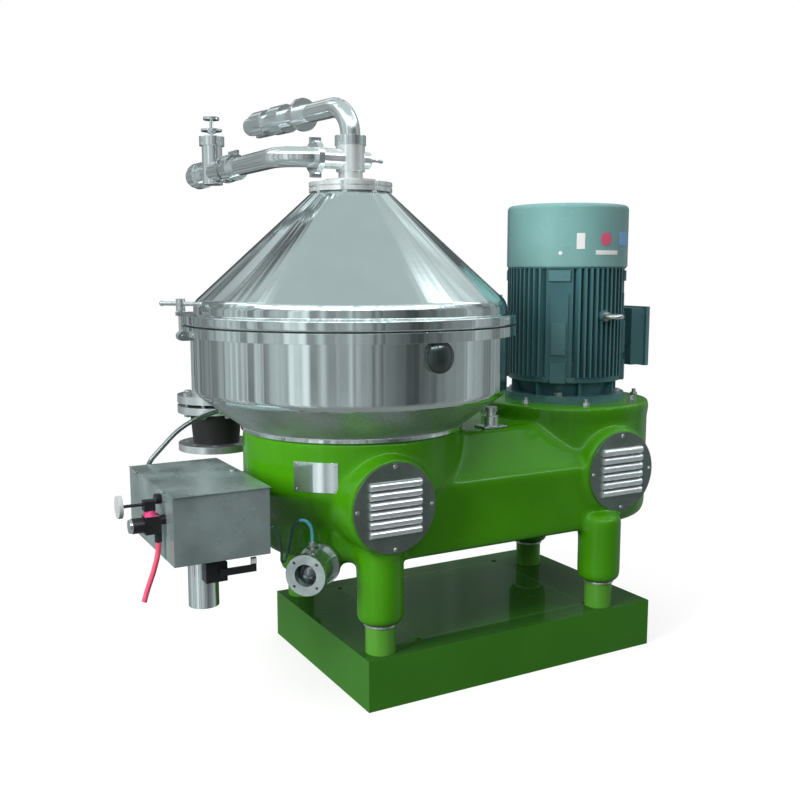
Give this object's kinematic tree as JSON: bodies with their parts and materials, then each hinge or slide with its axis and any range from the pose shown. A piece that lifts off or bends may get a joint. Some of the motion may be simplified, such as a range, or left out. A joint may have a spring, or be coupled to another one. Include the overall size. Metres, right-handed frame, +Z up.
{
  "type": "cream separator",
  "caption": "Upright disc-stack cream separator with polished casing and hood, belt drive from a vertical motor, milk pipes, air control box and outlets on a green frame.",
  "frame": {"origin": "centre of the plinth's underside, at the middle of the four anchor bolts", "axes": "+X along the plinth from the bowl to the motor, +Y to the side that the milk pipes point to, +Z up"},
  "size_m": [1.619, 1.076, 1.528],
  "materials": {
    "frame_green": "gloss",
    "plinth_green": "gloss",
    "polished_steel": "mirror polished",
    "pipe_steel": "polished",
    "box_steel": "bright annealed",
    "cover_steel": "satin",
    "bolt_steel": "satin",
    "flange_steel": "satin",
    "cast_steel": "machined",
    "bowl_steel": "satin",
    "bearing_steel": "ground",
    "motor_teal": "satin",
    "cowl_teal": "satin",
    "black_plastic": "satin",
    "black_rubber": "matte",
    "belt_rubber": "matte",
    "red_hose": "gloss",
    "blue_tube": "gloss"
  },
  "bodies": {
    "frame": {"base_plinth": "plinth_green", "legs": "frame_green", "feet": "frame_green", "foot_washers": "bolt_steel", "drive_frame": "frame_green", "louvre_cover_left": "cover_steel", "louvre_cover_right": "cover_steel", "cover_screws": "bolt_steel", "rating_plate": "polished_steel", "bearing_housing": "cast_steel", "spindle_bearings": "bearing_steel", "drive_belt": "belt_rubber", "casing_ring": "polished_steel", "lower_casing": "polished_steel", "rim_seal": "black_rubber", "hood": "polished_steel", "top_collar": "polished_steel", "casing_port": "black_plastic", "pipe_hub": "pipe_steel", "ring_nut": "pipe_steel", "feed_pipe": "pipe_steel", "pipe_unions": "pipe_steel", "outlet_pipe": "pipe_steel", "outlet_valve": "pipe_steel", "feed_tube": "pipe_steel", "sludge_duct": "flange_steel", "sludge_flanges": "flange_steel", "sludge_sleeve": "black_rubber", "motor_body": "motor_teal", "fan_cowl": "cowl_teal", "terminal_box": "motor_teal", "lifting_eye": "bolt_steel", "flange_bolts": "bolt_steel", "control_box": "box_steel", "air_regulator": "black_plastic", "lever_valve": "box_steel", "water_tube": "flange_steel", "drain_valve": "flange_steel", "red_hose": "red_hose", "blue_tube": "blue_tube", "oil_filler": "flange_steel"},
    "bowl": {"spindle": "bearing_steel", "driven_pulley": "cast_steel", "bowl_body": "bowl_steel", "bowl_lid": "bowl_steel", "lock_ring": "bowl_steel", "disc_stack": "bowl_steel"},
    "rotor": {"motor_shaft": "bearing_steel", "drive_pulley": "cast_steel"},
    "clamp_left": {"clamp_bolt_left": "bolt_steel"},
    "clamp_right": {"clamp_bolt_right": "bolt_steel"},
    "handle_left": {"clamp_handle_left": "bolt_steel"},
    "handle_right": {"clamp_handle_right": "bolt_steel"},
    "pin": {"lock_pin": "bolt_steel"},
    "wheel": {"handwheel": "pipe_steel"},
    "lid": {"control_box_lid": "box_steel"},
    "knob": {"regulator_knob": "black_plastic"},
    "lever": {"valve_lever": "black_plastic"},
    "ball": {"drain_ball": "polished_steel"},
    "cap": {"filler_cap": "bolt_steel"}
  },
  "joints": [
    {"name": "bowl_spin", "type": "hinge", "parent": "frame", "child": "bowl", "pos_m": [-0.345, 0, 0.7], "axis": [0, 0, 1], "continuous": true},
    {"name": "motor_spin", "type": "hinge", "parent": "frame", "child": "rotor", "pos_m": [0.363, 0, 0.8], "axis": [0, 0, 1], "continuous": true},
    {"name": "clamp_left_swing", "type": "hinge", "parent": "frame", "child": "clamp_left", "pos_m": [-0.78892, 0.03104, 0.907], "axis": [-0.0698, -0.9976, 0], "range_deg": [0, 105]},
    {"name": "clamp_left_turn", "type": "hinge", "parent": "clamp_left", "child": "handle_left", "pos_m": [-0.78892, 0.03104, 0.985], "axis": [0, 0, 1], "range_deg": [-82, 0]},
    {"name": "clamp_right_swing", "type": "hinge", "parent": "frame", "child": "clamp_right", "pos_m": [0.09892, -0.03104, 0.907], "axis": [0.0698, 0.9976, 0], "range_deg": [0, 90]},
    {"name": "clamp_right_turn", "type": "hinge", "parent": "clamp_right", "child": "handle_right", "pos_m": [0.09892, -0.03104, 0.985], "axis": [0, 0, 1], "range_deg": [0, 60]},
    {"name": "lock_pin_turn", "type": "hinge", "parent": "frame", "child": "pin", "pos_m": [-0.285, 0, 1.345], "axis": [1, 0, 0], "range_deg": [0, 180]},
    {"name": "handwheel_turn", "type": "hinge", "parent": "frame", "child": "wheel", "pos_m": [-0.54741, 0.49524, 1.47], "axis": [0, 0, 1], "range_deg": [0, 540]},
    {"name": "lid_hinge", "type": "hinge", "parent": "frame", "child": "lid", "pos_m": [-0.91, -0.071, 0.5797], "axis": [0, -1, 0], "range_deg": [0, 100]},
    {"name": "regulator_turn", "type": "hinge", "parent": "frame", "child": "knob", "pos_m": [-0.955, -0.196, 0.512], "axis": [-1, 0, 0], "range_deg": [0, 270]},
    {"name": "lever_turn", "type": "hinge", "parent": "frame", "child": "lever", "pos_m": [-0.79, -0.24, 0.392], "axis": [0, 1, 0], "range_deg": [0, 90]},
    {"name": "drain_ball_turn", "type": "hinge", "parent": "frame", "child": "ball", "pos_m": [-0.55855, -0.21355, 0.354], "axis": [0, 0, 1], "range_deg": [0, 90]},
    {"name": "filler_cap_turn", "type": "hinge", "parent": "frame", "child": "cap", "pos_m": [0.022, -0.113, 0.69], "axis": [0, 0, 1], "range_deg": [0, 360]}
  ],
  "couplings": [
    {"joint": "motor_spin", "follows": "bowl_spin", "ratio": 0.31356}
  ]
}
